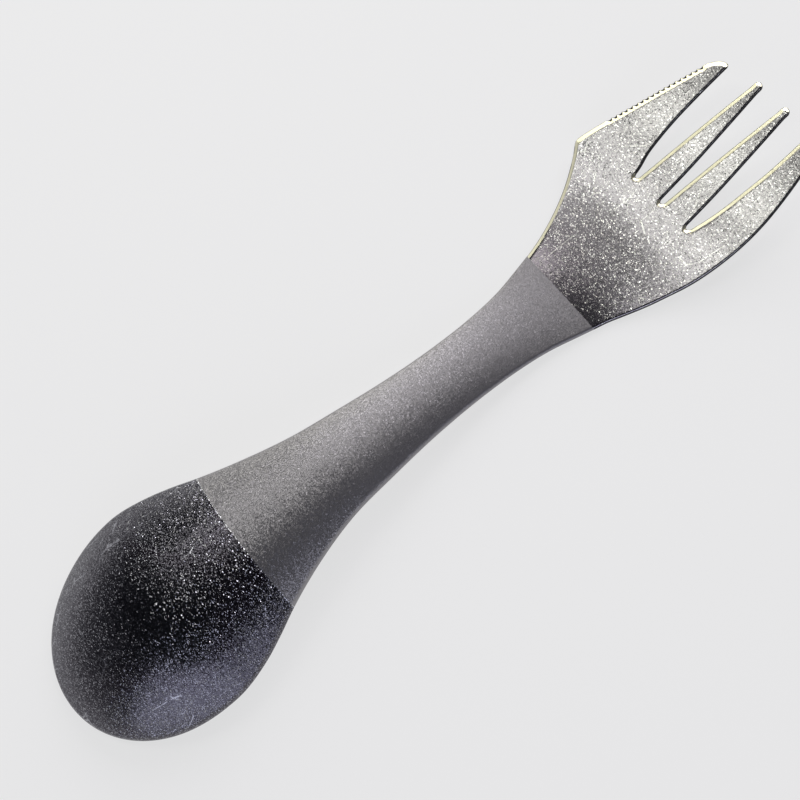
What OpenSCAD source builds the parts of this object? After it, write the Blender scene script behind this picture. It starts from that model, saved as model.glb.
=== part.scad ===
// Double-ended spork, pressed from one sheet of titanium: a spoon bowl, a waisted handle
// and a fork with four tines, one of them ground to a serrated cutting edge.
// Millimetres. X runs from the bowl to the tines, Z is up, and the piece lies as it does
// on a table with the dome of the bowl up, on the bowl's tip and the fork's root.
// The nodes are zones of the one sheet. They meet face to face where the finish changes
// and where the slots end.

/* [Sheet] */
// Thickness of the sheet
sheet_t = 1; // [0.8:0.05:1.4]
// Width of the soft rounding along every edge
edge_round_w = 0.6; // [0.3:0.05:0.8]

/* [Spoon bowl] */
// Length of the bowl, from its tip to the line where its polish ends
bowl_l = 45; // [41:0.5:52]
// Width of the bowl at its widest place
bowl_w = 41.8; // [36:0.2:46]
// Distance from the tip to the widest place
bowl_wide_x = 26.5; // [23:0.5:29]
// Height of the dome over the rim
dome_h = 8.8; // [5:0.1:11]
// Width of the neck where the bowl's polish ends
shoulder_w = 30.5; // [24:0.5:34]

/* [Handle] */
// Length of the blasted handle
handle_l = 73.5; // [60:0.5:90]
// Width of the handle at its waist
waist_w = 13.4; // [10:0.1:18]
// Rise of the handle's edges at the neck over those at the fork's root
crest_rise = 7; // [3:0.1:10]
// Height of the arch across the handle, ahead of the neck
arch_h = 3; // [1:0.1:4.5]

/* [Fork] */
// Width of the handle where the fork's polish begins
root_w = 19.3; // [17:0.1:23]
// Length of the palm, from there to the ends of the slots
palm_l = 24.5; // [20:0.5:32]
// Length of the inner tines
tine_l = 27; // [22:0.5:34]
// Reach of the plain outer tine from the middle line
plain_reach = 16.6; // [15.4:0.1:19]
// Reach of the corner of the cutting edge from the middle line
corner_reach = 20.4; // [18:0.1:23]
// Distance of that corner ahead of the ends of the slots
corner_ahead = 3; // [2:0.1:6]
// Distance between neighbouring slots
slot_pitch = 7; // [6:0.1:7.6]
// Width of the round end of each slot
slot_end_w = 1.2; // [0.8:0.1:2]
// Width of the inner tines near their tips
tip_w = 1.75; // [1.2:0.05:3]
// Rise of the tips over the fork's root
tip_rise = 8.2; // [3:0.1:12]
// Depth of the scoop across the tines
scoop_h = 0.5; // [0:0.1:2]

/* [Cutting edge] */
// How far the cutting edge draws in from its corner to the tip of its tine
edge_draw_in = 7; // [5:0.1:8]
// Width of the ground bevel
bevel_w = 0.95; // [0.5:0.05:1.5]
// Distance from one tooth to the next
tooth_pitch = 1.05; // [0.8:0.05:2]
// Depth of the hollow between two teeth
tooth_depth = 0.22; // [0.1:0.02:0.4]
// Plain stretch of the edge between the ends of the slots and the first tooth
tooth_start = 3.4; // [1:0.1:8]

/* [Hidden] */

// Places along the spork, measured from the tip of the bowl
neck_x = bowl_l;
root_x = neck_x + handle_l;
slot_x = root_x + palm_l;
end_x = slot_x + tine_l;
corner_x = slot_x - corner_ahead;

// Outer tines stop short of the inner ones by these lengths
serrated_short = 1.4;
plain_short = 0.6;
// Places and widths of the outer tines' blunt ends
serrated_tip_y = 10.9;
plain_tip_y = 10.6;
serrated_nose_l = 2.9;
plain_nose_l = 4.8;
inner_nose_l = 0.9;
// Length over which the bevel starts at the corner, and softness of that corner
bevel_run_l = 1.2;
corner_soft = 0.8;
// Outward bow of the cutting edge between its ends
edge_bow = 0.2;
// Spacing of the places where slopes are taken, and the least step between two sections
slope_step = 0.05;
least_step = 0.005;

// Bend of the bowl's outline and of its dome
outline_power = 2.12;
dome_power = 2.2;

// Half width along the neck and handle, [place along the handle, share of the step from
// the waist to the shoulder], then the same towards the fork's root
neck_shares = [[0, 1], [0.11, 0.66], [0.245, 0.35], [0.38, 0.19], [0.544, 0.046], [0.68, 0]];
flare_shares = [[0.776, 0.05], [0.884, 0.33], [0.96, 0.76]];
// Half width of the bowl behind its widest place, [share of the run to the neck, share of
// the step from the shoulder to the widest place]
heel_shares = [[0.46, 0.715], [0.73, 0.385]];
// Half width of the palm's plain side, [share of the palm, share of the step to full reach]
palm_shares = [[0, 0], [0.114, 0.1], [0.229, 0.245], [0.416, 0.48], [0.567, 0.64],
               [0.714, 0.79], [1, 0.965]];
// Reach of the plain outer tine, [share of the tine, share of the full reach]
plain_shares = [[0.18, 1], [0.38, 0.982], [0.55, 0.94], [0.72, 0.882], [1, 0.75]];
// Reach of the palm's side that rises to the corner of the cutting edge
rise_shares = [[0, 0], [0.143, 0.095], [0.359, 0.28], [0.535, 0.475], [0.69, 0.695],
               [0.808, 0.895], [0.878, 1.05], [1, 1.34]];

// Rise of the edges over the fork's root: bowl, handle, then palm and tines
tip_drop_share = 0.15;
bowl_rise_shares = [[0.29, 0.23], [0.56, 0.54], [0.78, 0.7], [0.98, 0.9]];
handle_rise_shares = [[0.11, 1], [0.245, 0.98], [0.41, 0.78], [0.544, 0.593], [0.68, 0.393],
                      [0.816, 0.2], [0.925, 0.07]];
palm_rise_shares = [[0.1, 0], [0.47, 0.067], [0.755, 0.183], [1, 0.34]];
tine_rise_shares = [[0.3, 0.524], [0.63, 0.756], [1, 1]];

// Height of the middle over the edges: dome, arch of the handle, scoop of the fork
dome_shares = [[0.46, 0.92], [0.73, 0.8], [1, 0.65]];
arch_shares = [[0.11, 1.37], [0.245, 1], [0.41, 0.73], [0.544, 0.55], [0.68, 0.4],
               [0.816, 0.28], [0.96, 0.16]];
palm_scoop_shares = [[0.47, 0], [1, -1]];
tine_scoop_shares = [[0.5, -1], [1, -0.6]];

// Half the gap beside each tine, [share of the tine, share of the slots' distance]
inner_gap_shares = [[0, 0.07], [0.285, 0.143], [0.626, 0.257], [1, 0.4]];
serrated_gap_shares = [[0, 0.05], [0.063, 0.1], [0.17, 0.235], [0.31, 0.333], [0.45, 0.393],
                       [0.66, 0.435], [1, 0.465]];
plain_gap_shares = [[0, 0.07], [0.13, 0.18], [0.26, 0.253], [0.43, 0.314], [0.6, 0.366],
                    [1, 0.385]];

// Rounded edge: share of its width, then share of half the thickness, from the rim inwards
round_in_shares = [0, 0.134, 0.5, 1];
round_up_shares = [0, 0.5, 0.87, 1];
// Ground bevel: the same, on the upper face and on the under face
bevel_in_shares = [0, 0.14, 0.57, 1];
bevel_up_shares = [-0.75, -0.6, 0.2, 1];
bevel_under_shares = [-0.75, -0.95, -1, -1];
// Most of a narrow section's half width that each step of the edge may take
edge_limit_shares = [0, 0.2, 0.42, 0.66];
edge_n = len(round_in_shares) - 1;
// Round end of a slot: sections at these shares of its radius, and the share of the edge's
// rounding that is left where the slot begins
slot_end_shares = [0, 0.07, 0.25, 0.6, 1, 1.8];
slot_round_share = 0.04;

// Sides of the model: steps round a curved end, and steps along and across each zone
nose_angles = [2.5, 5, 8, 12, 16, 21, 26, 32, 38, 45, 52, 60, 68, 76, 84, 90];
tip_angles = [90, 68, 48, 30, 14, 5];
bowl_heel_n = 9;
handle_n = 30;
palm_n = 11;
corner_n = 10;
tine_n = 9;
tooth_lead_n = 4;
steps_per_tooth = 4;
across_bowl_n = 20;
across_handle_n = 10;
across_palm_n = 14;
across_tine_n = 3;

// Smooth curve through keys of [place, value], straight beyond the last one
function key_rise(keys, i) =
    (keys[i + 1][1] - keys[i][1]) / (keys[i + 1][0] - keys[i][0]);
function key_slope(keys, i, level_start) =
    i == 0 ? (level_start ? 0 : key_rise(keys, 0))
    : i == len(keys) - 1 ? key_rise(keys, i - 1)
    : let (before = keys[i][0] - keys[i - 1][0], after = keys[i + 1][0] - keys[i][0])
      (key_rise(keys, i - 1) * after + key_rise(keys, i) * before) / (before + after);
function smooth(keys, x, level_start = false) =
    let (last = len(keys) - 1)
    x >= keys[last][0] ? keys[last][1] + key_slope(keys, last) * (x - keys[last][0])
    : let (
        i = max([0, for (k = [0:last - 1]) if (keys[k][0] <= x) k]),
        w = keys[i + 1][0] - keys[i][0],
        u = (x - keys[i][0]) / w
      )
      keys[i][1] * (1 + 2 * u) * pow(1 - u, 2)
      + key_slope(keys, i, level_start) * w * u * pow(1 - u, 2)
      + keys[i + 1][1] * u * u * (3 - 2 * u)
      + key_slope(keys, i + 1) * w * u * u * (u - 1);

function blend(a, b, u) = a + (b - a) * u;
function clamp(u, low, high) = min(max(u, low), high);
// Quarter round: 0 at the rim, 1 from the distance run inwards
function quarter(d, run) = sqrt(max(0, 1 - pow(max(0, 1 - d / run), 2)));
// Lower of two curves, with their crossing softened
function soft_min(a, b, soft) = (a + b - sqrt(pow(a - b, 2) + soft * soft)) / 2;

// Outline of the sheet in plan
root_half = root_w / 2;
waist_half = waist_w / 2;
shoulder_half = shoulder_w / 2;
bowl_half = bowl_w / 2;
half_keys = concat(
    [[bowl_wide_x, bowl_half]],
    [for (k = heel_shares)
        [blend(bowl_wide_x, neck_x, k[0]), blend(shoulder_half, bowl_half, k[1])]],
    [for (k = neck_shares)
        [neck_x + k[0] * handle_l, blend(waist_half, shoulder_half, k[1])]],
    [for (k = flare_shares)
        [neck_x + k[0] * handle_l, blend(waist_half, root_half, k[1])]],
    [for (k = palm_shares)
        [root_x + k[0] * palm_l, blend(root_half, plain_reach, k[1])]],
    [for (k = plain_shares) [slot_x + k[0] * tine_l, k[1] * plain_reach]]);
function half_w(x) =
    x < bowl_wide_x
    ? bowl_half * sqrt(max(0, 1 - pow(1 - x / bowl_wide_x, outline_power)))
    : smooth(half_keys, x, true);

// Side with the cutting edge: it rises to the corner, then draws in along the edge
rise_keys = [for (k = rise_shares)
    [root_x + k[0] * palm_l, blend(root_half, corner_reach, k[1])]];
edge_end_x = end_x - serrated_short - serrated_nose_l;
function edge_y(x) =
    let (u = (x - corner_x) / (edge_end_x - corner_x))
    corner_reach + corner_soft / 2 - edge_draw_in * u + edge_bow * 4 * u * (1 - u);
function cutter_y(x) = soft_min(smooth(rise_keys, x), edge_y(x), corner_soft);
// Share of the bevel in the edge's shape: none before the corner, all after it
function bevel_share(x) = clamp((x - (corner_x - bevel_run_l / 2)) / bevel_run_l, 0, 1);

// Teeth: shallow round hollows that meet in points
tooth_from = slot_x + tooth_start;
tooth_count = floor((edge_end_x - tooth_from) / tooth_pitch);
tooth_to = tooth_from + tooth_count * tooth_pitch;
function tooth_bite(x) =
    x < tooth_from || x > tooth_to ? 0
    : tooth_depth * abs(sin(180 * (x - tooth_from) / tooth_pitch));

// Side profile of the sheet's edges
profile_keys = concat(
    [[0, -tip_drop_share * sheet_t]],
    [for (k = bowl_rise_shares) [k[0] * bowl_l, k[1] * crest_rise]],
    [for (k = handle_rise_shares) [neck_x + k[0] * handle_l, k[1] * crest_rise]],
    [for (k = palm_rise_shares) [root_x + k[0] * palm_l, k[1] * tip_rise]],
    [for (k = tine_rise_shares) [slot_x + k[0] * tine_l, k[1] * tip_rise]]);

// Height of the sheet's middle over its edges
crown_keys = concat(
    [[bowl_wide_x, dome_h]],
    [for (k = dome_shares) [blend(bowl_wide_x, neck_x, k[0]), k[1] * dome_h]],
    [for (k = arch_shares) [neck_x + k[0] * handle_l, k[1] * arch_h]],
    [for (k = palm_scoop_shares) [root_x + k[0] * palm_l, k[1] * scoop_h]],
    [for (k = tine_scoop_shares) [slot_x + k[0] * tine_l, k[1] * scoop_h]]);
function crown_h(x) =
    x < bowl_wide_x
    ? dome_h * (1 - pow(clamp(1 - x / bowl_wide_x, 0, 1), dome_power))
    : smooth(crown_keys, x, true);

// Middle face of the sheet, at rest on a table
function middle_z(x, y) =
    let (across = abs(y) / half_w(clamp(x, slope_step, slot_x)))
    sheet_t / 2 + smooth(profile_keys, x) + crown_h(x) * (1 - pow(across, dome_power));
// Upright thickness of the sloping sheet, as a multiple of its true thickness
function slope_factor(x, y) =
    let (
        inner_y = sign(y) * max(0, abs(y) - slope_step),
        dx = (middle_z(x + slope_step, inner_y) - middle_z(x - slope_step, inner_y)),
        dy = (middle_z(x, inner_y + slope_step) - middle_z(x, inner_y - slope_step))
    )
    sqrt(1 + (dx * dx + dy * dy) / pow(2 * slope_step, 2));

// One closed ring of points round the section at x, from the edge at high_y over the upper
// face to low_y and back below. high_w and low_w are the widths of the two edges' rounding,
// bevel the share of the ground bevel in the first, thick_share how thick the section is.
function side_insets(in_shares, w, half) =
    [for (k = [0:edge_n]) min(in_shares[k] * w, edge_limit_shares[k] * half)];
function ring(x, high_y, low_y, across_n, high_w, low_w, bevel, thick_share) =
    let (
        half = (high_y - low_y) / 2,
        plain_in = side_insets(round_in_shares, high_w, half),
        bevel_in = side_insets(bevel_in_shares, bevel_w * high_w / edge_round_w, half),
        high_in = blend(plain_in, bevel_in, bevel),
        low_in = side_insets(round_in_shares, low_w, half),
        high_up = blend(round_up_shares, bevel_up_shares, bevel),
        high_under = blend(-round_up_shares, bevel_under_shares, bevel),
        from_y = high_y - high_in[edge_n],
        to_y = low_y + low_in[edge_n],
        ys = concat([for (k = [0:edge_n]) high_y - high_in[k]],
                    [for (k = [1:across_n - 1]) blend(from_y, to_y, k / across_n)],
                    [for (k = [edge_n:-1:0]) low_y + low_in[k]]),
        flat = [for (k = [1:across_n - 1]) 1],
        low_up = [for (k = [edge_n:-1:0]) round_up_shares[k]],
        up = concat(high_up, flat, low_up),
        under = concat(high_under, -flat, -low_up),
        last = len(ys) - 1,
        lift = [for (y = ys) slope_factor(x, y) * sheet_t / 2],
        base = [for (y = ys) middle_z(x, y)]
    )
    concat(
        [for (k = [0:last])
            [x, ys[k], base[k] + up[k] * thick_share * lift[k]]],
        [for (k = [last - 1:-1:1])
            [x, ys[k], base[k] + under[k] * thick_share * lift[k]]]);

// Solid through a row of rings that all have the same number of points
module loft(rings) {
    n = len(rings[0]);
    top_n = n / 2;
    last = (len(rings) - 1) * n;
    sides = [for (i = [0:len(rings) - 2], j = [0:n - 1])
        let (a = i * n + j, b = i * n + (j + 1) % n)
        each [[a, a + n, b + n], [a, b + n, b]]];
    near_end = concat(
        [[0, 1, n - 1], [top_n - 1, top_n, top_n + 1]],
        [for (j = [1:top_n - 2]) each [[j, j + 1, n - j - 1], [j, n - j - 1, n - j]]]);
    far_end = [for (f = near_end) [last + f[2], last + f[1], last + f[0]]];
    translate([-end_x / 2, 0, 0])
        polyhedron(points = [for (r = rings) each r], faces = concat(sides, near_end, far_end));
}

// How far an edge's rounding reaches across a section whose outline slants
function slant(f_next, f_here) = sqrt(1 + pow((f_next - f_here) / slope_step, 2));

// Stations along a zone
function even_stations(from_x, to_x, n) = [for (i = [0:n]) blend(from_x, to_x, i / n)];
// Stations round the nose of a tine that ends at tip_x, closing on its tip
function nose_stations(tip_x, run) = [for (a = tip_angles) tip_x - run * (1 - cos(a))];

module symmetric_zone(stations, across_n) {
    loft([for (x = stations)
        let (
            half = half_w(x),
            w = edge_round_w * slant(half_w(x + slope_step / 2), half_w(x - slope_step / 2))
        )
        ring(x, half, -half, across_n, w, w, 0, quarter(x, edge_round_w))]);
}

// Bowl: an oval dome, polished, open below
module spoon_bowl() {
    color("#4a4a50")
        symmetric_zone(
            concat([for (a = nose_angles) bowl_wide_x * (1 - cos(a))],
                   [for (i = [1:bowl_heel_n]) blend(bowl_wide_x, neck_x, i / bowl_heel_n)]),
            across_bowl_n);
}

// Handle: blasted, waisted, arched across near the bowl and nearly flat at the fork
module handle() {
    color("#7b787c") symmetric_zone(even_stations(neck_x, root_x, handle_n), across_handle_n);
}

// Palm: widens to the plain side and, further, to the corner of the cutting edge
module fork_palm() {
    corner_room = corner_soft + bevel_run_l;
    stations = concat(
        even_stations(root_x, corner_x - corner_room, palm_n),
        [for (i = [1:corner_n]) blend(corner_x - corner_room, corner_x + corner_room, i / corner_n)],
        [(corner_x + corner_room + slot_x) / 2, slot_x]);
    color("#b4b2ac")
        loft([for (x = stations)
            let (
                w_high = edge_round_w * slant(cutter_y(x + slope_step), cutter_y(x)),
                w_low = edge_round_w * slant(half_w(x + slope_step), half_w(x))
            )
            ring(x, cutter_y(x), -half_w(x), across_palm_n, w_high, w_low, bevel_share(x), 1)]);
}

// Half gap between a tine and the line of its slot, closed by the slot's round end
function gap_w(shares, x) =
    let (d = max(0, x - slot_x))
    quarter(d, slot_end_w / 2)
    * smooth([for (k = shares) [k[0] * tine_l, k[1] * slot_pitch]], d);
// Outline near a tine's tip, drawn in to tip_y along the nose
function nosed(y, tip_y, tip_x, x, run) = tip_y + (y - tip_y) * quarter(tip_x - x, run);
// Rounding of an edge inside a slot: it grows from nothing where the slot begins
function slot_round(x) = edge_round_w * clamp((x - slot_x) / slot_end_w, slot_round_share, 1);
slot_stations = [for (u = slot_end_shares) slot_x + u * slot_end_w / 2];
slot_stations_end = slot_stations[len(slot_stations) - 1];

// Outer tine with the cutting edge: bevelled and toothed
module serrated_outer_tine() {
    tip_x = end_x - serrated_short;
    tooth_stations = [for (i = [0:tooth_count * steps_per_tooth])
        tooth_from + i * tooth_pitch / steps_per_tooth];
    stations = concat(
        slot_stations,
        [for (i = [1:tooth_lead_n - 1]) blend(slot_stations_end, tooth_from, i / tooth_lead_n)],
        tooth_stations,
        [for (x = nose_stations(tip_x, serrated_nose_l)) if (x > tooth_to + slope_step) x],
        [for (x = nose_stations(tip_x, inner_nose_l)) if (x > tip_x - inner_nose_l / 2) x]);
    color("#c9c7bf")
        loft([for (x = sorted(stations))
            let (
                high = nosed(cutter_y(x) - tooth_bite(x), serrated_tip_y, tip_x, x,
                             serrated_nose_l),
                low = nosed(slot_pitch + gap_w(serrated_gap_shares, x), serrated_tip_y, tip_x, x,
                            inner_nose_l)
            )
            ring(x, high, low, across_tine_n, edge_round_w, slot_round(x), 1,
                 quarter(tip_x - x, edge_round_w))]);
}

// Inner tine: narrows evenly to a round tip, with its middle on middle_y
module inner_tine(middle_y) {
    tip_gap = (slot_pitch - tip_w) / 2;
    stations = concat(slot_stations,
                      [for (i = [1:tine_n - 1])
                          blend(slot_stations_end, end_x - inner_nose_l, i / tine_n)],
                      nose_stations(end_x, inner_nose_l));
    loft([for (x = stations)
        let (
            gap = min(gap_w(inner_gap_shares, x), tip_gap),
            half = (slot_pitch / 2 - gap) * quarter(end_x - x, inner_nose_l),
            w = slot_round(x)
        )
        ring(x, middle_y + half, middle_y - half, across_tine_n, w, w, 0,
             quarter(end_x - x, edge_round_w))]);
}
module left_inner_tine() {
    color("#d0cec6") inner_tine(slot_pitch / 2);
}
module right_inner_tine() {
    color("#d6d4cc") inner_tine(-slot_pitch / 2);
}

// Plain outer tine: its back curves in to a blunt tip
module plain_outer_tine() {
    tip_x = end_x - plain_short;
    stations = concat(slot_stations,
                      [for (i = [1:tine_n - 1])
                          blend(slot_stations_end, tip_x - plain_nose_l, i / tine_n)],
                      nose_stations(tip_x, plain_nose_l),
                      [for (x = nose_stations(tip_x, inner_nose_l))
                          if (x > tip_x - inner_nose_l / 2) x]);
    color("#cbc9c2")
        loft([for (x = sorted(stations))
            let (
                high = nosed(-slot_pitch - gap_w(plain_gap_shares, x), -plain_tip_y, tip_x, x,
                             inner_nose_l),
                low = nosed(-half_w(x), -plain_tip_y, tip_x, x, plain_nose_l)
            )
            ring(x, high, low, across_tine_n, slot_round(x), edge_round_w, 0,
                 quarter(tip_x - x, edge_round_w))]);
}

// Numbers in rising order, with near repeats left out
function rising(list) =
    len(list) < 2 ? list
    : let (
        pivot = list[floor(len(list) / 2)],
        below = [for (v = list) if (v < pivot) v],
        above = [for (v = list) if (v > pivot) v]
      )
      concat(rising(below), [pivot], rising(above));
function sorted(list) =
    let (r = rising(list))
    [for (i = [0:len(r) - 1]) if (i == 0 || r[i] - r[i - 1] > least_step) r[i]];

spoon_bowl();
handle();
fork_palm();
serrated_outer_tine();
left_inner_tine();
right_inner_tine();
plain_outer_tine();
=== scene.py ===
import math

import bmesh
import bpy
import numpy as np
from mathutils import Matrix, Vector


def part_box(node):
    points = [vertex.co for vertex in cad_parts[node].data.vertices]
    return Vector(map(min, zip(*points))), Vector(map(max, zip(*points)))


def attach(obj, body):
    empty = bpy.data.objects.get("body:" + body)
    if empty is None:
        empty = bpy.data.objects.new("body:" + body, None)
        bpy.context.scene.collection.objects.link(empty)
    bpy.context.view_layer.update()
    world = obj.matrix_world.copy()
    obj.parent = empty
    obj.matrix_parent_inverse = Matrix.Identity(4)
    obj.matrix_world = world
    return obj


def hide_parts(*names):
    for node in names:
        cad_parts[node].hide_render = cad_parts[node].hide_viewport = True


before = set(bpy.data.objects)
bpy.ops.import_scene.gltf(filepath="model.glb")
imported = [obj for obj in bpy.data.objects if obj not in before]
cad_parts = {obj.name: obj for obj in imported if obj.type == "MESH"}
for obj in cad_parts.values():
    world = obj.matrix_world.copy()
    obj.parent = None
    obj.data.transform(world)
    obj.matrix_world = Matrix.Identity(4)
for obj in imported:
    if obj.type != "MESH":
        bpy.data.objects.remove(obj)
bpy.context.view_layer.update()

# Double-ended titanium spork: tumble-polished bowl and fork, blasted handle, ground and
# toothed cutting edge. Sizes are in millimetres, in the frame's own axes: X from the bowl
# to the tines, Y towards the cutting edge, Z up. The meshes are turned to metres at the end.
# A name that ends in _m is in metres.
MM = 0.001

POLISHED = "polished_titanium"
BLASTED = "blasted_titanium"


def corners(node):
    """Lowest and highest corner of a node of the frame, in millimetres."""
    low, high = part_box(node)
    return np.array(low) / MM, np.array(high) / MM


# Places and widths taken from the frame
neck_x = corners("handle")[0][0]
root_x = corners("handle")[1][0]
slot_x = corners("fork_palm")[1][0]
end_x = corners("left_inner_tine")[1][0]
serrated_tip_x = corners("serrated_outer_tine")[1][0]
plain_tip_x = corners("plain_outer_tine")[1][0]
bowl_half = corners("spoon_bowl")[1][1]
shoulder_half = corners("handle")[1][1]
slot_pitch = corners("left_inner_tine")[1][1]
plain_reach = -corners("plain_outer_tine")[0][1]
bowl_tip_x = -end_x

# The sheet
sheet_t = 1.0
edge_round = 0.6
wide_x = bowl_tip_x + 26.5
dome_h = 8.8
waist_half = 6.7
root_half = 9.65
crest_rise = 7.0
arch_h = 3.0
tip_rise = 8.2
scoop_h = 0.5

# The fork
corner_x = slot_x - 3.0
corner_reach = 20.4
corner_soft = 0.8
edge_draw_in = 7.0
edge_bow = 0.2
slot_end_w = 1.2
tip_w = 1.75
serrated_tip_y = 10.9
plain_tip_y = 10.6
serrated_nose = 2.9
plain_nose = 4.8
inner_nose = 0.9
bevel_w = 1.15
bevel_run = 1.2
edge_end_x = serrated_tip_x - serrated_nose
tooth_pitch = 1.05
tooth_depth = 0.22
tooth_from = slot_x + 3.4
tooth_to = tooth_from + math.floor((edge_end_x - tooth_from) / tooth_pitch) * tooth_pitch

# How the fork's edges are finished: rounded by tumbling, broken by a narrow slope on the
# side that the blanking die left sharp, or ground to a bevel. An edge share says where a
# slope ends at the very edge: 1 is the upper face, 0 the middle and -1 the under face.
BEVEL_EDGE_SHARE = -0.75
FLANK_EDGE_SHARE = -0.3
BROKEN_EDGE_SHARE = 0.3
broken_w = 0.75
burr_round = 0.15
fork_round = 0.45

# Painted shade at the very edge: a dark line that stands in for the shade there, thin below
# a slope, wider elsewhere, and widest in the hollows between the teeth, a painted shadow
thin_dark_w = 0.09
dark_w = 0.12
notch_w = 0.5

# Shares that shape the outline, the side profile and the crown across the sheet. Those in
# pairs are the share of a stretch along X and the share of the step in width or height.
OUTLINE_POWER = 2.12
CROWN_POWER = 2.2
HEEL_SHARES = [(0.46, 0.715), (0.73, 0.385)]
NECK_SHARES = [(0, 1), (0.11, 0.66), (0.245, 0.35), (0.38, 0.19), (0.544, 0.046), (0.68, 0)]
FLARE_SHARES = [(0.776, 0.05), (0.884, 0.33), (0.96, 0.76)]
PALM_SHARES = [(0, 0), (0.114, 0.1), (0.229, 0.245), (0.416, 0.48), (0.567, 0.64),
               (0.714, 0.79), (1, 0.965)]
PLAIN_SHARES = [(0.18, 1), (0.38, 0.982), (0.55, 0.94), (0.72, 0.882), (1, 0.75)]
RISE_SHARES = [(0, 0), (0.143, 0.095), (0.359, 0.28), (0.535, 0.475), (0.69, 0.695),
               (0.808, 0.895), (0.878, 1.05), (1, 1.34)]
TIP_DROP_SHARE = 0.15
BOWL_RISE_SHARES = [(0.29, 0.23), (0.56, 0.54), (0.78, 0.7), (0.98, 0.9)]
HANDLE_RISE_SHARES = [(0.11, 1), (0.245, 0.98), (0.41, 0.78), (0.544, 0.593), (0.68, 0.393),
                      (0.816, 0.2), (0.925, 0.07)]
PALM_RISE_SHARES = [(0.1, 0), (0.47, 0.067), (0.755, 0.183), (1, 0.34)]
TINE_RISE_SHARES = [(0.3, 0.524), (0.63, 0.756), (1, 1)]
DOME_SHARES = [(0.46, 0.92), (0.73, 0.8), (1, 0.65)]
ARCH_SHARES = [(0.11, 1.37), (0.245, 1), (0.41, 0.73), (0.544, 0.55), (0.68, 0.4),
               (0.816, 0.28), (0.96, 0.16)]
PALM_SCOOP_SHARES = [(0.47, 0), (1, -1)]
TINE_SCOOP_SHARES = [(0.5, -1), (1, -0.6)]
INNER_GAP_SHARES = [(0, 0.07), (0.285, 0.143), (0.626, 0.257), (1, 0.4)]
SERRATED_GAP_SHARES = [(0, 0.05), (0.063, 0.1), (0.17, 0.235), (0.31, 0.333), (0.45, 0.393),
                       (0.66, 0.435), (1, 0.465)]
PLAIN_GAP_SHARES = [(0, 0.07), (0.13, 0.18), (0.26, 0.253), (0.43, 0.314), (0.6, 0.366),
                    (1, 0.385)]

# Fineness of the meshes: distances between sections along X. They are closer together up to
# corner_zone from the corner of the palm, on both sides of it. A tine's section that is
# nearer than least_step to the last one is left out, and their places are rounded.
bowl_step = 0.45
handle_step = 0.6
palm_step = 0.5
corner_zone = 1.5
corner_step = 0.12
shoulder_step = 0.2
tine_step = 0.35
tooth_step = tooth_pitch / 8
least_step = 0.004
SECTION_DIGITS = 5
TOOTHED_SECTION_DIGITS = 3

# Sections of round ends: how many, and the angle in degrees at which they stop before the tip
QUARTER_TURN = 90
OVAL_SECTIONS = 110
oval_last_angle = 0.3
NOSE_SECTIONS = 16
nose_last_angle = 1.5

# Sections beside the slots' ends, as shares of the rounding before them and of their radius
PALM_END_SHARES = np.array([0.2, 0.4, 0.6, 0.75, 0.87, 0.95, 1])
SLOT_END_SHARES = np.array([0, 0.04, 0.12, 0.24, 0.4, 0.6, 0.8, 1, 1.25, 1.6, 2])

# Points across a section: from each of its edges inwards in millimetres, for at most this
# share of its half width, and how many lie evenly between those
EDGE_INSETS = np.array([0, 0.012, 0.04, 0.085, 0.15, 0.23, 0.33, 0.45, 0.6, 0.76])
CUT_INSETS = np.array([0, 0.08, 0.16, 0.3, 0.5, 0.75, 0.98, 1.1, 1.2, 1.4])
INSET_LIMIT_SHARE = 0.75
BOWL_POINTS = 60
HANDLE_POINTS = 26
TINE_POINTS = 12
ROW_DIGITS = 6

# Lines along the edges, for measuring distances: their step, how far they run on past the
# root so that no distance is measured to an end of a line, how many points are measured at
# once, and the least square of a length to divide by
rim_step = 0.25
past_root = 2.0
before_root = 1.0
POINTS_AT_ONCE = 1500
least_length = 1e-12

# The step over which the sheet's slope is measured, and how near points are to be welded
slope_step = 0.02
weld_m = 1e-8


def smooth(keys, x, level_start=False):
    """Smooth curve through keys of (place, value), straight beyond the last one."""
    places, values = np.array(keys, float).T
    runs = np.diff(places)
    rises = np.diff(values) / runs
    slopes = np.concatenate([
        [0 if level_start else rises[0]],
        (rises[:-1] * runs[1:] + rises[1:] * runs[:-1]) / (runs[:-1] + runs[1:]),
        [rises[-1]]])
    x = np.asarray(x, float)
    i = np.clip(np.searchsorted(places, x, side="right") - 1, 0, len(runs) - 1)
    u = (x - places[i]) / runs[i]
    inside = (values[i] * (1 + 2 * u) * (1 - u) ** 2 + slopes[i] * runs[i] * u * (1 - u) ** 2
              + values[i + 1] * u * u * (3 - 2 * u)
              + slopes[i + 1] * runs[i] * u * u * (u - 1))
    return np.where(x > places[-1], values[-1] + slopes[-1] * (x - places[-1]), inside)


def mix(a, b, u):
    """a at 0, b at 1."""
    return a + (b - a) * u


def keyed(shares, from_x, to_x, low, high):
    """Keys of (place, value) from shares of a stretch and of a step."""
    return [(mix(from_x, to_x, k[0]), mix(low, high, k[1])) for k in shares]


def quarter(d, run):
    """Quarter round: 0 at the rim, 1 from the distance run inwards."""
    return np.sqrt(np.clip(1 - np.clip(1 - d / run, 0, None) ** 2, 0, 1))


def ease(u):
    """0 to 1 with soft ends."""
    u = np.clip(u, 0, 1)
    return u * u * (3 - 2 * u)


def soft_min(a, b, soft):
    """Lower of two curves, with their crossing softened."""
    return (a + b - np.sqrt((a - b) ** 2 + soft * soft)) / 2


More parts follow.
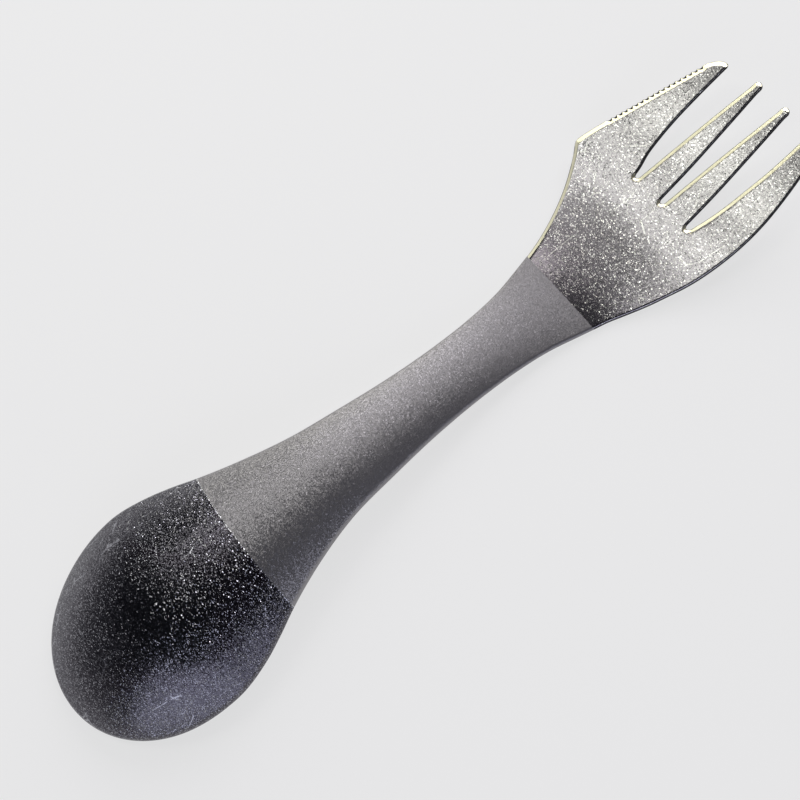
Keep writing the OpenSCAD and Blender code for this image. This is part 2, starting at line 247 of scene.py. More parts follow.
# Outline in plan
HALF_KEYS = (
    [(wide_x, bowl_half)]
    + keyed(HEEL_SHARES, wide_x, neck_x, shoulder_half, bowl_half)
    + keyed(NECK_SHARES, neck_x, root_x, waist_half, shoulder_half)
    + keyed(FLARE_SHARES, neck_x, root_x, waist_half, root_half)
    + keyed(PALM_SHARES, root_x, slot_x, root_half, plain_reach)
    + keyed(PLAIN_SHARES, slot_x, end_x, 0, plain_reach))
RISE_KEYS = keyed(RISE_SHARES, root_x, slot_x, root_half, corner_reach)


def half_w(x):
    """Half width of the bowl and handle, and the reach of the fork's plain side."""
    run = np.clip((wide_x - x) / (wide_x - bowl_tip_x), 0, 1)
    oval = bowl_half * np.sqrt(1 - run ** OUTLINE_POWER)
    return np.where(x < wide_x, oval, smooth(HALF_KEYS, x, level_start=True))


def plain_y(x):
    """The plain side of the whole spork."""
    return -half_w(x)


def cutter_y(x):
    """The fork's other side: it rises to the corner and draws in along the cutting edge,
    which is bowed outwards, most at half its length."""
    u = (x - corner_x) / (edge_end_x - corner_x)
    edge = corner_reach + corner_soft / 2 - edge_draw_in * u + edge_bow * 4 * u * (1 - u)
    return soft_min(smooth(RISE_KEYS, x), edge, corner_soft)


def tooth_bite(x):
    """Depth of the round hollows between the teeth."""
    toothed = (x > tooth_from) & (x < tooth_to)
    return np.where(toothed,
                    tooth_depth * np.abs(np.sin(math.pi * (x - tooth_from) / tooth_pitch)), 0)


def gap(shares, x):
    """Half gap between a tine and the line of its slot, closed by the slot's round end."""
    d = np.clip(x - slot_x, 0, None)
    keys = [(k[0] * (end_x - slot_x), k[1] * slot_pitch) for k in shares]
    return quarter(d, slot_end_w / 2) * smooth(keys, d)


# Side profile of the edges, and height of the middle over them
PROFILE_KEYS = (
    [(bowl_tip_x, -TIP_DROP_SHARE * sheet_t)]
    + keyed(BOWL_RISE_SHARES, bowl_tip_x, neck_x, 0, crest_rise)
    + keyed(HANDLE_RISE_SHARES, neck_x, root_x, 0, crest_rise)
    + keyed(PALM_RISE_SHARES, root_x, slot_x, 0, tip_rise)
    + keyed(TINE_RISE_SHARES, slot_x, end_x, 0, tip_rise))
CROWN_KEYS = (
    [(wide_x, dome_h)]
    + keyed(DOME_SHARES, wide_x, neck_x, 0, dome_h)
    + keyed(ARCH_SHARES, neck_x, root_x, 0, arch_h)
    + keyed(PALM_SCOOP_SHARES, root_x, slot_x, 0, scoop_h)
    + keyed(TINE_SCOOP_SHARES, slot_x, end_x, 0, scoop_h))


def middle_z(x, y):
    """Middle face of the sheet, at rest on a table."""
    run = np.clip((wide_x - x) / (wide_x - bowl_tip_x), 0, 1)
    crown = np.where(x < wide_x, dome_h * (1 - run ** CROWN_POWER),
                     smooth(CROWN_KEYS, x, level_start=True))
    across_share = np.abs(y) / half_w(np.clip(x, bowl_tip_x + slope_step, slot_x))
    return sheet_t / 2 + smooth(PROFILE_KEYS, x) + crown * (1 - across_share ** CROWN_POWER)


def slopes(x, y):
    """Slopes of the middle face along X and Y."""
    x = np.maximum(x, bowl_tip_x + 2 * slope_step)
    y = np.sign(y) * np.maximum(0, np.abs(y) - slope_step)
    dx = middle_z(x + slope_step, y) - middle_z(x - slope_step, y)
    dy = middle_z(x, y + slope_step) - middle_z(x, y - slope_step)
    return dx / (2 * slope_step), dy / (2 * slope_step)


# Edges and faces of the sheet
def distance(points, lines):
    """Distance from each point to the nearest of the lines, each a row of points."""
    if isinstance(lines, list):
        return np.min([distance(points, line) for line in lines], axis=0)
    a, ab = lines[:-1], np.diff(lines, axis=0)
    length = np.maximum((ab ** 2).sum(1), least_length)
    found = []
    for part in np.array_split(points, max(1, len(points) // POINTS_AT_ONCE)):
        away = part[:, None] - a
        u = np.clip((away * ab).sum(2) / length, 0, 1)
        found.append(np.sqrt(((away - u[..., None] * ab) ** 2).sum(2).min(1)))
    return np.concatenate(found)


def bevel_amount(x):
    """0 before the corner of the cutting edge, 1 after it."""
    return ease((x - corner_x) / bevel_run + 0.5)


def sloped(d, edge_share, slope_w, under_round):
    """Upper and under face beside an edge with a slope, at the distance d from it."""
    top = edge_share + (1 - edge_share) * np.clip(d / slope_w, 0, 1)
    return top, mix(edge_share, -1, quarter(d, under_round))


def faces_of_sheet(x, y, rounded, round_w=edge_round, broken=None, cutting=None):
    """Upper and under face as shares of half the thickness, and how far each point is from
    the edges as a share of the widths of the slopes and of the dark line of painted shade
    beside them. rounded, broken and cutting are the edges in plan."""
    points = np.stack([x.ravel(), y.ravel()], 1)
    rounded_d = distance(points, rounded).reshape(x.shape)
    share = quarter(rounded_d, round_w)
    if cutting is None:
        far = np.full_like(share, np.inf)
        return share, -share, far, far
    broken_d = distance(points, broken).reshape(x.shape)
    cutting_d = distance(points, cutting).reshape(x.shape)
    amount = bevel_amount(x)
    ground = sloped(cutting_d, BEVEL_EDGE_SHARE, bevel_w, burr_round)
    flank = sloped(cutting_d, FLANK_EDGE_SHARE, broken_w, fork_round)
    beside = sloped(broken_d, BROKEN_EDGE_SHARE, broken_w, fork_round)
    top = np.minimum(mix(flank[0], ground[0], amount), beside[0])
    under = np.maximum(mix(flank[1], ground[1], amount), beside[1])
    centre, half = (top + under) / 2, (top - under) / 2
    slope_share = np.minimum(cutting_d / mix(broken_w, bevel_w, amount), broken_d / broken_w)
    cutting_dark_w = mix(thin_dark_w, notch_w, tooth_bite(x) / tooth_depth)
    dark_share = np.minimum(cutting_d / cutting_dark_w,
                            np.minimum(rounded_d / dark_w, broken_d / thin_dark_w))
    return centre + half * share, centre - half * share, slope_share, dark_share


# Places of the finishes on a piece of the fork: its face, its slopes and its painted-shade
# edge
FACE, SLOPE, DARK = 0, 1, 2


def face_means(share):
    """Mean over the corners of each face of a grid of points."""
    return (share[:-1, :-1] + share[1:, :-1] + share[:-1, 1:] + share[1:, 1:]) / 4


def finish_places(slope_share, dark_share):
    """Place of the finish of each face, in the order of the rings: along the upper side and
    back along the under side, which has no slopes."""
    slope_at, dark_at = face_means(slope_share), face_means(dark_share)
    under = np.where(dark_at < 1, DARK, FACE)
    upper = np.where((dark_at >= 1) & (slope_at < 1), SLOPE, under)
    return np.concatenate([upper, under[:, ::-1]], 1)


def rings_of_sheet(x, y, up, under):
    """Points round each section: along the upper face and back along the under face. Where
    the sheet slopes, the faces lie further apart along Z, so that it stays as thick."""
    sx, sy = slopes(x, y)
    lift = np.sqrt(1 + sx * sx + sy * sy) * sheet_t / 2
    base = middle_z(x, y)
    top = np.stack([x, y, base + up * lift], 2)
    below = np.stack([x, y, base + under * lift], 2)[:, -2:0:-1]
    return np.concatenate([top, below], 1)


def close_end(work, ring, cols):
    """Flat end of a piece inside its first or last ring, with a sharp edge around it."""
    lower = [ring[0]] + ring[:cols - 1:-1] + [ring[cols - 1]]
    for j in range(cols - 1):
        end = [ring[j], ring[j + 1], lower[j + 1], lower[j]]
        work.faces.new(list(dict.fromkeys(end)))
    for a, b in zip(ring, ring[1:] + ring[:1]):
        work.edges.get((a, b)).smooth = False


def sheet_piece(node, xs, ys, slot, finishes, **edges):
    """Closed piece of the sheet that stands for a node of the frame. xs are its sections
    and ys, one row for each, the places of the points across it."""
    rows, cols = ys.shape
    x = np.repeat(xs[:, None], cols, 1)
    up, under, slope_share, dark_share = faces_of_sheet(x, ys, **edges)
    rings = rings_of_sheet(x, ys, up, under)
    places = finish_places(slope_share, dark_share)
    around = rings.shape[1]
    mesh = bpy.data.meshes.new(node)
    piece = bpy.data.objects.new(node.replace("_", " ").title().replace(" ", ""), mesh)
    bpy.context.scene.collection.objects.link(piece)
    for finish in finishes:
        mesh.materials.append(finish)
    work = bmesh.new()
    points = [[work.verts.new(p) for p in ring] for ring in (rings * MM).tolist()]
    for i in range(rows - 1):
        for j in range(around):
            k = (j + 1) % around
            face = work.faces.new((points[i][j], points[i][k],
                                   points[i + 1][k], points[i + 1][j]))
            face.smooth = True
            face.material_index = int(places[i, j])
    close_end(work, points[0], cols)
    close_end(work, points[-1], cols)
    bmesh.ops.remove_doubles(work, verts=work.verts, dist=weld_m)
    bmesh.ops.recalc_face_normals(work, faces=work.faces)
    work.to_mesh(mesh)
    work.free()
    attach(piece, "root")
    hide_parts(node)


# Sections and points of the meshes
def across(low, high, between, high_insets=EDGE_INSETS):
    """Places across one section, closer together near its two edges."""
    half = (high - low) / 2
    near_low = EDGE_INSETS * min(1, half * INSET_LIMIT_SHARE / EDGE_INSETS[-1])
    near_high = high_insets * min(1, half * INSET_LIMIT_SHARE / high_insets[-1])
    inner = np.linspace(low + near_low[-1], high - near_high[-1], between + 2)[1:-1]
    return np.concatenate([low + near_low, inner, (high - near_high)[::-1]])


def round_end(tip, run, first, last, n, outward=1):
    """Sections towards a round end at tip, closer together near it. first and last are the
    angles, in degrees, from the tip's own direction."""
    angles = np.radians(np.linspace(first, last, n))
    return tip - outward * run * (1 - np.cos(angles))


def even(from_x, to_x, step):
    """Sections at about that distance from each other."""
    return np.linspace(from_x, to_x, max(2, round((to_x - from_x) / step) + 1))


def line_along(*stretches):
    """Line in plan along edges, each given by its places along X and as a function of x."""
    return np.concatenate([np.stack([xs, edge(xs)], 1) for xs, edge in stretches])


# Bowl and handle
bowl_len = wide_x - bowl_tip_x
oval_xs = round_end(bowl_tip_x, bowl_len, oval_last_angle, QUARTER_TURN, OVAL_SECTIONS,
                    outward=-1)
rim_xs = np.concatenate([[bowl_tip_x], oval_xs,
                         even(wide_x, root_x + past_root, rim_step)[1:]])
rim = line_along((rim_xs[::-1], half_w), (rim_xs, plain_y))


def bowl_and_handle(bowl_finish, handle_finish):
    """Spoon bowl, an oval dome that is hollow below, and the waisted handle."""
    bowl_xs = np.concatenate([oval_xs, even(wide_x, neck_x, bowl_step)[1:]])
    handle_xs = even(neck_x, root_x, handle_step)
    zones = (
        ("spoon_bowl", bowl_xs, BOWL_POINTS, POLISHED, bowl_finish),
        ("handle", handle_xs, HANDLE_POINTS, BLASTED, handle_finish),
    )
    for node, xs, between, slot, finish in zones:
        ys = np.stack([across(-half_w(x), half_w(x), between) for x in xs])
        sheet_piece(node, xs, ys, slot, [finish], rounded=rim)


# Fork
def nosed(y, tip_y, tip_x, x, run):
    """Edge y of a tine, drawn in to tip_y along its nose."""
    return tip_y + (y - tip_y) * quarter(tip_x - x, run)


def inner_half(x):
    """Half width of an inner tine."""
    gap_now = np.minimum(gap(INNER_GAP_SHARES, x), (slot_pitch - tip_w) / 2)
    return (slot_pitch / 2 - gap_now) * quarter(end_x - x, inner_nose)


def inner_edge(middle_y, side):
    """Edge of the inner tine whose middle is on middle_y."""
    return lambda x: middle_y + side * inner_half(x)


def plain_low(x):
    """Outer edge of the plain outer tine, with the curved back."""
    return nosed(plain_y(x), -plain_tip_y, plain_tip_x, x, plain_nose)


def plain_high(x):
    """Inner edge of the plain outer tine."""
    y = -slot_pitch - gap(PLAIN_GAP_SHARES, x)
    return nosed(y, -plain_tip_y, plain_tip_x, x, inner_nose)


def serrated_low(x):
    """Inner edge of the serrated outer tine."""
    y = slot_pitch + gap(SERRATED_GAP_SHARES, x)
    return nosed(y, serrated_tip_y, serrated_tip_x, x, inner_nose)


def serrated_high(x):
    """Cutting edge with its teeth, and the nose of its tine."""
    y = cutter_y(x) - tooth_bite(x)
    return nosed(y, serrated_tip_y, serrated_tip_x, x, serrated_nose)


def tine_sections(tip_x, noses):
    """Sections of a tine: close together at its slot's end and towards its nose."""
    slot_end_xs = slot_x + SLOT_END_SHARES * slot_end_w / 2
    between = even(slot_end_xs[-1], tip_x - max(noses), tine_step)
    ends = [round_end(tip_x, run, QUARTER_TURN, nose_last_angle, NOSE_SECTIONS)
            for run in noses]
    xs = np.unique(np.concatenate([slot_end_xs, between] + ends).round(SECTION_DIGITS))
    return xs[np.concatenate([[True], np.diff(xs) > least_step])]


def toothed_sections():
    """Sections of the serrated tine, with some on each tooth."""
    tooth_xs = np.arange(tooth_from, tooth_to + tooth_step / 2, tooth_step)
    xs = np.concatenate([tine_sections(serrated_tip_x, (serrated_nose, inner_nose)), tooth_xs])
    return np.unique(xs.round(TOOTHED_SECTION_DIGITS))


def palm_sections():
    """Sections of the palm: closer together at its corner and before the slots' ends."""
    zone_from, zone_to = corner_x - corner_zone, corner_x + corner_zone
    return np.concatenate([
        even(root_x, zone_from, palm_step),
        even(zone_from, zone_to, corner_step)[1:],
        even(zone_to, slot_x - edge_round, shoulder_step)[1:],
        slot_x - edge_round * (1 - PALM_END_SHARES)])


# The tines from the plain side to the cutting one: sections, lower and higher edge along Y
inner_xs = tine_sections(end_x, (inner_nose,))
tines = {
    "plain_outer_tine": (tine_sections(plain_tip_x, (plain_nose, inner_nose)),
                         plain_low, plain_high),
    "right_inner_tine": (inner_xs, inner_edge(-slot_pitch / 2, -1),
                         inner_edge(-slot_pitch / 2, 1)),
    "left_inner_tine": (inner_xs, inner_edge(slot_pitch / 2, -1),
                        inner_edge(slot_pitch / 2, 1)),
    "serrated_outer_tine": (toothed_sections(), serrated_low, serrated_high),
}


def fork_edges(palm_xs):
    """Edges of the fork in plan. Of each slot, the side towards the cutting edge is rounded
    and the other one broken."""
    before_xs = even(root_x - before_root, root_x, before_root / 2)
    plain_xs, cut_xs = tines["plain_outer_tine"][0], tines["serrated_outer_tine"][0]
    plain_side = line_along(
        (np.concatenate([before_xs, palm_xs, plain_xs]),
         lambda x: np.where(x < slot_x, plain_y(x), plain_low(x))))
    cutting = line_along(
        (np.concatenate([before_xs, palm_xs, cut_xs]),
         lambda x: np.where(x < slot_x, cutter_y(x), serrated_high(x))))
    stretches = list(tines.values())
    rounded = [plain_side] + [line_along((xs, low)) for xs, low, _ in stretches[1:]]
    broken = [line_along((xs, high)) for xs, _, high in stretches[:-1]]
    return {"rounded": rounded, "round_w": fork_round, "broken": broken, "cutting": cutting}


def fork(finishes):
    """Palm and four tines, the outer one ground and toothed along its edge. finishes are
    those of the faces, of the slopes and of the very edge."""
    palm_xs = palm_sections()
    edges = fork_edges(palm_xs)
    first_rows = []
    for node, (xs, low, high) in tines.items():
        insets = CUT_INSETS if node == "serrated_outer_tine" else EDGE_INSETS
        ys = np.stack([across(float(low(x)), float(high(x)), TINE_POINTS, insets)
                       for x in xs])
        first_rows.append(ys[0])
        sheet_piece(node, xs, ys, POLISHED, finishes, **edges)
    row = np.unique(np.concatenate(first_rows).round(ROW_DIGITS))
    shares = (row - row[0]) / (row[-1] - row[0])
    low, high = plain_y(palm_xs), cutter_y(palm_xs)
    ys = low[:, None] + shares * (high - low)[:, None]
    sheet_piece("fork_palm", palm_xs, ys, POLISHED, finishes, **edges)


# Finishes. Pecks, grit marks and belt lines are typically about 0.05 mm wide, too fine to
# show, as a pixel of the picture is 0.18 mm of the spork. So flecks, grains, scratches and
# lines are drawn as coarse as they need to be to show. Sizes are along X, Y and Z.
bowl_fleck = (0.1, 0.2, 0.12)
fork_fleck = (0.16, 0.23, 0.2)
blast_grain = (0.15, 0.15, 0.15)
edge_shade_grain = (0.15, 0.15, 0.15)
belt_line = (0.12, 1.2, 1.2)
scratch_run = (11.0, 5.0, 5.0)
scratch_w = 0.12

# Soft dents below the flecks, wide enough to show as they are, and depths of the bumps
bowl_dent = (1.2, 1.2, 1.2)
fork_dent = (3.0, 0.4, 0.4)
dent_h = 0.01
belt_line_h = 0.02

# A flat counts as a peck from the first lean, and as a deep one from the second
PECK_LEANS = (0.52, 0.72)

# Scratches come in patches, where a noise is high: they show from the first value and in
# full from the second. The scale is how many times finer that noise is than the scratches.
SCRATCH_PATCHES = (0.53, 0.6)
PATCH_SCALE = 1.7

# The line that the mask left on the bowl, and where the fork goes from a darker tint at its
# root, painted shade, to its plain tint
lip_w = 0.16
root_shade_to_x = root_x + 4
bright_from_x = slot_x + 10


def linear(code):
    """Colour for a shader from an sRGB hex code such as #8a8784, by the standard's formula."""
    parts = [int(code[i:i + 2], 16) / 255 for i in (1, 3, 5)]
    return tuple(p / 12.92 if p <= 0.04045 else ((p + 0.055) / 1.055) ** 2.4
                 for p in parts) + (1.0,)


def add(tree, kind, inputs=None, **settings):
    """Node of that kind in the tree. inputs holds values or the sockets linked to them."""
    node = tree.nodes.new(kind)
    for name, value in settings.items():
        setattr(node, name, value)
    for name, value in (inputs or {}).items():
        if isinstance(value, bpy.types.NodeSocket):
            tree.links.new(value, node.inputs[name])
        else:
            node.inputs[name].default_value = value
    return node


def new_finish(name):
    """Empty material and its tree."""
    finish = bpy.data.materials.new(name)
    finish.use_nodes = True
    finish.node_tree.nodes.clear()
    return finish, finish.node_tree


def in_mm(tree, grain):
    """Place on the object, counted in grains of that size in millimetres."""
    place = add(tree, "ShaderNodeTexCoord").outputs["Object"]
    scale = tuple(1 / (g * MM) for g in grain)
    return add(tree, "ShaderNodeMapping", {"Vector": place, "Scale": scale}).outputs[0]


def place_along(tree):
    """Place on the object along X, in metres."""
    place = add(tree, "ShaderNodeTexCoord").outputs["Object"]
    return add(tree, "ShaderNodeSeparateXYZ", {0: place}).outputs["X"]


def along_sheet(tree, from_x, to_x, low, high):
    """Number or colour that goes evenly from low to high between two places along X."""
    share = add(tree, "ShaderNodeMapRange", {
        "Value": place_along(tree), "From Min": from_x * MM, "From Max": to_x * MM})
    ends = {"Factor": share.outputs[0], "A": low, "B": high}
    kind = "RGBA" if isinstance(low, tuple) else "FLOAT"
    return add(tree, "ShaderNodeMix", ends, data_type=kind).outputs["Result"]


def small_flats(tree, grain, turn, level):
    """Normal of a skin of small flats, each about a grain wide and turned its own way, and
    how much each one leans. turn is the lean of the most turned ones, level says how much
    flatter the others lie."""
    cells = add(tree, "ShaderNodeTexVoronoi", {"Vector": in_mm(tree, grain), "Scale": 1.0})
    mid_grey = (0.5, 0.5, 0.5)
    lean = add(tree, "ShaderNodeVectorMath", {0: cells.outputs["Color"], 1: mid_grey},
               operation="SUBTRACT").outputs[0]
    size = add(tree, "ShaderNodeVectorMath", {0: lean}, operation="LENGTH").outputs["Value"]
    share = add(tree, "ShaderNodeMath", {0: size, 1: level}, operation="POWER")
    reach = add(tree, "ShaderNodeMath", {0: share.outputs[0], 1: turn}, operation="MULTIPLY")
    lean = add(tree, "ShaderNodeVectorMath", {0: lean, "Scale": reach.outputs[0]},
               operation="SCALE").outputs[0]
    face = add(tree, "ShaderNodeNewGeometry").outputs["Normal"]
    both = add(tree, "ShaderNodeVectorMath", {0: face, 1: lean}, operation="ADD").outputs[0]
    both = add(tree, "ShaderNodeVectorMath", {0: both}, operation="NORMALIZE").outputs[0]
    return both, size


def scratches(tree):
    """1 on stray scratches and 0 beside them. They are pieces of the lines between big
    cells, drawn wider than real ones."""
    lines = add(tree, "ShaderNodeTexVoronoi", {
        "Vector": in_mm(tree, scratch_run), "Scale": 1.0}, feature="DISTANCE_TO_EDGE")
    line = add(tree, "ShaderNodeMapRange", {
        "Value": lines.outputs["Distance"], "From Max": scratch_w / min(scratch_run),
        "To Min": 1.0, "To Max": 0.0})
    patches = add(tree, "ShaderNodeTexNoise", {
        "Vector": in_mm(tree, scratch_run), "Scale": PATCH_SCALE, "Detail": 2.0})
    here = add(tree, "ShaderNodeMapRange", {
        "Value": patches.outputs["Fac"],
        "From Min": SCRATCH_PATCHES[0], "From Max": SCRATCH_PATCHES[1]})
    return add(tree, "ShaderNodeMath", {0: line.outputs[0], 1: here.outputs[0]},
               operation="MULTIPLY").outputs[0]


def tumbled_titanium(name, tint, bright, roughness, fleck, turn, level, dent, dull=None,
                     lip=None):
    """Titanium polished by tumbling: a soft mirror, pecked into small flats that catch the
    light one by one. The deepest pecks and a few scratches show brighter metal. turn is
    one number, or two for the bowl's tip and the neck. dull is a darker tint beside the
    handle, painted shade for the dark reflection seen there, lip the colour of the line that
    the mask left there."""
    finish, tree = new_finish(name)
    if isinstance(turn, tuple):
        turn = along_sheet(tree, bowl_tip_x, neck_x, *turn)
    flats, lean = small_flats(tree, fleck, turn, level)
    waves = add(tree, "ShaderNodeTexNoise", {
        "Vector": in_mm(tree, dent), "Scale": 1.0, "Detail": 3.0})
    dented = add(tree, "ShaderNodeBump", {
        "Height": waves.outputs["Fac"], "Distance": dent_h * MM, "Strength": 1.0,
        "Normal": flats})
    pecks = add(tree, "ShaderNodeMapRange", {
        "Value": lean, "From Min": PECK_LEANS[0], "From Max": PECK_LEANS[1]})
    share = add(tree, "ShaderNodeMath", {0: scratches(tree), 1: pecks.outputs[0]},
                operation="MAXIMUM")
    plain = linear(tint)
    # Painted shade: the tint is darker towards the handle, for the dark reflection at the
    # fork's root
    if dull:
        plain = along_sheet(tree, root_shade_to_x, bright_from_x, linear(dull), plain)
    tints = add(tree, "ShaderNodeMix", {
        "Factor": share.outputs[0], "A": plain, "B": linear(bright)},
        data_type="RGBA").outputs["Result"]
    if lip:
        beside = add(tree, "ShaderNodeMath", {
            0: place_along(tree), 1: (neck_x - lip_w / 2) * MM, 2: lip_w / 2 * MM},
            operation="COMPARE")
        tints = add(tree, "ShaderNodeMix", {
            "Factor": beside.outputs[0], "A": tints, "B": linear(lip)},
            data_type="RGBA").outputs["Result"]
    shader = add(tree, "ShaderNodeBsdfPrincipled", {
        "Base Color": tints, "Metallic": 1.0, "Roughness": roughness,
        "Normal": dented.outputs[0]})
    add(tree, "ShaderNodeOutputMaterial", {"Surface": shader.outputs[0]})
    return finish


def blasted_titanium(name, tint, roughness, turn, level):
    """Titanium blasted with fine grit: a dull grey grain, crisper towards the bowl.
    roughness and turn are pairs of numbers, for the neck and for the fork's root."""
    finish, tree = new_finish(name)
    grain, _ = small_flats(tree, blast_grain, along_sheet(tree, neck_x, root_x, *turn), level)
    shader = add(tree, "ShaderNodeBsdfPrincipled", {
        "Base Color": linear(tint), "Metallic": 1.0,
        "Roughness": along_sheet(tree, neck_x, root_x, *roughness), "Normal": grain})
    add(tree, "ShaderNodeOutputMaterial", {"Surface": shader.outputs[0]})
    return finish


def edge_shade_titanium(name, tint, roughness, turn, level):
    """Titanium painted dark as shade at the very edge and in the hollows between the teeth,
    where it stands in for the shade and the dark surroundings seen there: dark and rough."""
    finish, tree = new_finish(name)
    grain, _ = small_flats(tree, edge_shade_grain, turn, level)
    shader = add(tree, "ShaderNodeBsdfPrincipled", {
        "Base Color": linear(tint), "Metallic": 1.0, "Roughness": roughness, "Normal": grain})
    add(tree, "ShaderNodeOutputMaterial", {"Surface": shader.outputs[0]})
    return finish


def ground_titanium(name, tint, roughness):
    """Titanium straight from the grinding belt, with lines across the edge. Its bright cream
    tint is partly the bare ground metal and partly a painted highlight of the warm light.
    """
    finish, tree = new_finish(name)
    lines = add(tree, "ShaderNodeTexNoise", {
        "Vector": in_mm(tree, belt_line), "Scale": 1.0, "Detail": 1.0})
    bump = add(tree, "ShaderNodeBump", {
        "Height": lines.outputs["Fac"], "Distance": belt_line_h * MM, "Strength": 1.0})
    shader = add(tree, "ShaderNodeBsdfPrincipled", {
        "Base Color": linear(tint), "Metallic": 1.0, "Roughness": roughness,
        "Normal": bump.outputs[0]})
    add(tree, "ShaderNodeOutputMaterial", {"Surface": shader.outputs[0]})
    return finish


# Studio. The floor, which lies just under the spork and glows by itself for a share of its
# tone
PAPER = "#f2f2f2"
FLOOR_GLOW_SHARE = 0.75
FLOOR_CORNERS = 96
floor_radius_m = 4.0
floor_drop_m = 0.00002

# Shades of the room from the horizon, at 0, towards straight overhead, at 1
ROOM_SHADES = [(0.0, "#e6e6e6"), (0.10, "#9c9c9e"), (0.32, "#66666c"), (0.48, "#2e2e34")]

# Soft boxes: name, place, aim and sides in metres, glow and colour. The first three are
# named for a zone of the spork that mirrors them: the tines, the bowl's heel beside the
# handle, and the root of the fork. The warm card shows in the slopes of the edges, and the
# sky in the bowl.
SOFT_BOXES = [
    ("Tine box", (0.019, 0.10, 0.30), (0.05, 0.0, 0.0), (0.040, 0.14), 3.0, "#fffffa"),
    ("Heel box", (-0.038, 0.19, 0.30), (-0.03, 0.0, 0.0), (0.09, 0.14), 3.6, "#fffffa"),
    ("Root box", (0.113, 0.17, 0.30), (0.03, 0.0, 0.0), (0.06, 0.10), 2.5, "#fffaf6"),
    ("Warm card", (0.25, 0.45, 0.11), (0.07, 0.0, 0.03), (0.44, 0.20), 2.6, "#fffff0"),
    ("Window", (0.95, 0.60, 0.55), (0.0, 0.0, 0.0), (1.3, 0.45), 6.6, "#fbf8ff"),
    ("Sky", (-0.40, -0.55, 0.31), (-0.05, 0.0, 0.0), (1.10, 0.40), 2.0, "#cdd0e2"),
]

# The photograph's view: angles in degrees round the spork, above the floor and about the
# camera's own axis, the point looked at, and the focal length in pixels of the picture
view_azimuth = -1.831
view_elevation = 71.456
view_roll = -38.074
view_distance_m = 0.25289
view_target = (-2.109, 2.933, 3.5)
focal_px = 1373.45
picture_px = 800
sensor_w = 36
clip_from_m = 0.01
clip_to_m = 20


def pale_floor():
    """Wide pale floor that keeps the object's shadow."""
    bpy.ops.mesh.primitive_circle_add(vertices=FLOOR_CORNERS, radius=floor_radius_m,
                                      fill_type="NGON", location=(0, 0, -floor_drop_m))
    floor = bpy.context.object
    floor.name = "Floor"
    paint, tree = new_finish("pale paper floor")
    path = add(tree, "ShaderNodeLightPath").outputs
    seen = add(tree, "ShaderNodeMath", {0: path["Is Camera Ray"], 1: path["Is Glossy Ray"]},
               operation="ADD")
    seen = add(tree, "ShaderNodeMath", {0: seen.outputs[0], 1: path["Is Transmission Ray"]},
               operation="ADD", use_clamp=True)
    share = add(tree, "ShaderNodeMath", {0: seen.outputs[0], 1: FLOOR_GLOW_SHARE},
                operation="MULTIPLY")
    lit = add(tree, "ShaderNodeBsdfDiffuse", {"Color": linear(PAPER)})
    glow = add(tree, "ShaderNodeEmission", {"Color": linear(PAPER), "Strength": 1.0})
    both = add(tree, "ShaderNodeMixShader", {
        0: share.outputs[0], 1: lit.outputs[0], 2: glow.outputs[0]})
    add(tree, "ShaderNodeOutputMaterial", {"Surface": both.outputs[0]})
    floor.data.materials.append(paint)


def soft_light(name, place, aim, sides, glow, colour):
    """Soft box: a rectangle at place, turned to aim. A glow of 1 is the brightness of lit
    white paper."""
    lamp = bpy.data.lights.new(name, "AREA")
    lamp.shape = "RECTANGLE"
    lamp.size, lamp.size_y = sides
    lamp.energy = glow * math.pi * sides[0] * sides[1]
    lamp.color = linear(colour)[:3]
    box = bpy.data.objects.new(name, lamp)
    box.location = place
    box.rotation_euler = (Vector(aim) - Vector(place)).to_track_quat("-Z", "Y").to_euler()
    box.visible_camera = False
    bpy.context.scene.collection.objects.link(box)


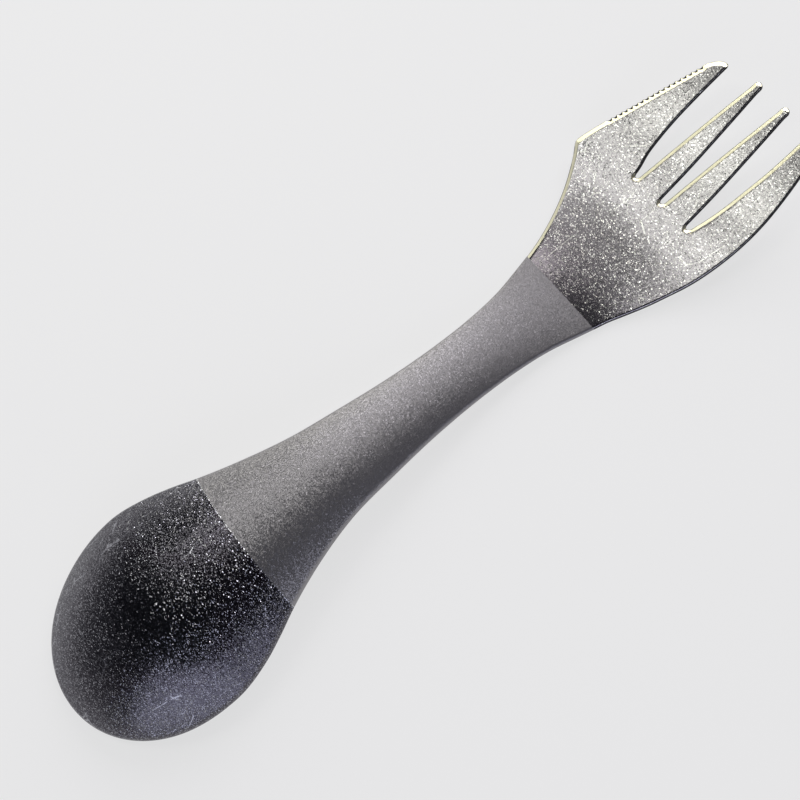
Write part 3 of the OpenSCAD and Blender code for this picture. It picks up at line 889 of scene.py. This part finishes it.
def dim_room():
    """World: a room that is pale near the horizon and dark overhead."""
    world = bpy.data.worlds.new("Room")
    bpy.context.scene.world = world
    world.use_nodes = True
    tree = world.node_tree
    tree.nodes.clear()
    way = add(tree, "ShaderNodeTexCoord").outputs["Generated"]
    height = add(tree, "ShaderNodeSeparateXYZ", {0: way}).outputs["Z"]
    ramp = add(tree, "ShaderNodeValToRGB", {0: height})
    stops = ramp.color_ramp.elements
    for i in (0, -1):
        place, colour = ROOM_SHADES[i]
        stops[i].position = place
        stops[i].color = linear(colour)
    for place, colour in ROOM_SHADES[1:-1]:
        stops.new(place).color = linear(colour)
    back = add(tree, "ShaderNodeBackground", {0: ramp.outputs[0], 1: 1.0})
    add(tree, "ShaderNodeOutputWorld", {"Surface": back.outputs[0]})


def camera():
    """Camera that sees the spork as the photograph does, turned about its own axis."""
    azimuth, elevation = math.radians(view_azimuth), math.radians(view_elevation)
    roll = math.radians(view_roll)
    target = Vector(view_target) * MM
    back = Vector((math.sin(azimuth) * math.cos(elevation),
                   -math.cos(azimuth) * math.cos(elevation), math.sin(elevation)))
    side = (-back).cross(Vector((0, 0, 1))).normalized()
    up = side.cross(-back)
    right_now = side * math.cos(roll) + up * math.sin(roll)
    up_now = up * math.cos(roll) - side * math.sin(roll)
    lens = bpy.data.cameras.new("Camera")
    lens.sensor_width = sensor_w
    lens.lens = focal_px / picture_px * sensor_w
    lens.clip_start, lens.clip_end = clip_from_m, clip_to_m
    view = bpy.data.objects.new("Camera", lens)
    turn = Matrix((right_now, up_now, back)).transposed().to_4x4()
    view.matrix_world = Matrix.Translation(target + back * view_distance_m) @ turn
    bpy.context.scene.collection.objects.link(view)
    bpy.context.scene.camera = view


# Painted shade: the bowl's plain tint is far darker than the fork's, though both are the same
# tumbled titanium; it stands in for the dark surroundings mirrored in the bowl. Its pecks and
# scratches keep the metal's brighter tint.
tumbled_bowl_painted_dark = tumbled_titanium(
    "tumbled titanium, bowl", tint="#4c4a50", bright="#a4a4aa", roughness=0.18,
    fleck=bowl_fleck, turn=(0.4, 1.5), level=1.7, dent=bowl_dent, lip="#b4b4b8")
# Painted shade: the fork's darker tint beside the handle
tumbled_fork = tumbled_titanium(
    "tumbled titanium, fork", tint="#aaa9a8", bright="#c4c4c0", roughness=0.21,
    fleck=fork_fleck, turn=0.5, level=2.8, dent=fork_dent, dull="#827e85")
blasted_handle = blasted_titanium(
    "blasted titanium", tint="#918f91", roughness=(0.42, 0.5), turn=(0.5, 0.22), level=0.4)
# Partly painted highlight: the slopes' bright cream tint
ground_slope_and_highlight = ground_titanium("ground titanium", tint="#ece8cc", roughness=0.38)
# Painted shade: the near-black tint of the very edge and of the hollows between the teeth
painted_edge_shade = edge_shade_titanium(
    "titanium, painted edge shade", tint="#2a282a", roughness=0.5, turn=0.3, level=1.0)
bowl_and_handle(tumbled_bowl_painted_dark, blasted_handle)
fork([tumbled_fork, ground_slope_and_highlight, painted_edge_shade])
pale_floor()
dim_room()
for soft_box in SOFT_BOXES:
    soft_light(*soft_box)
camera()
bpy.context.scene.view_settings.view_transform = "Standard"
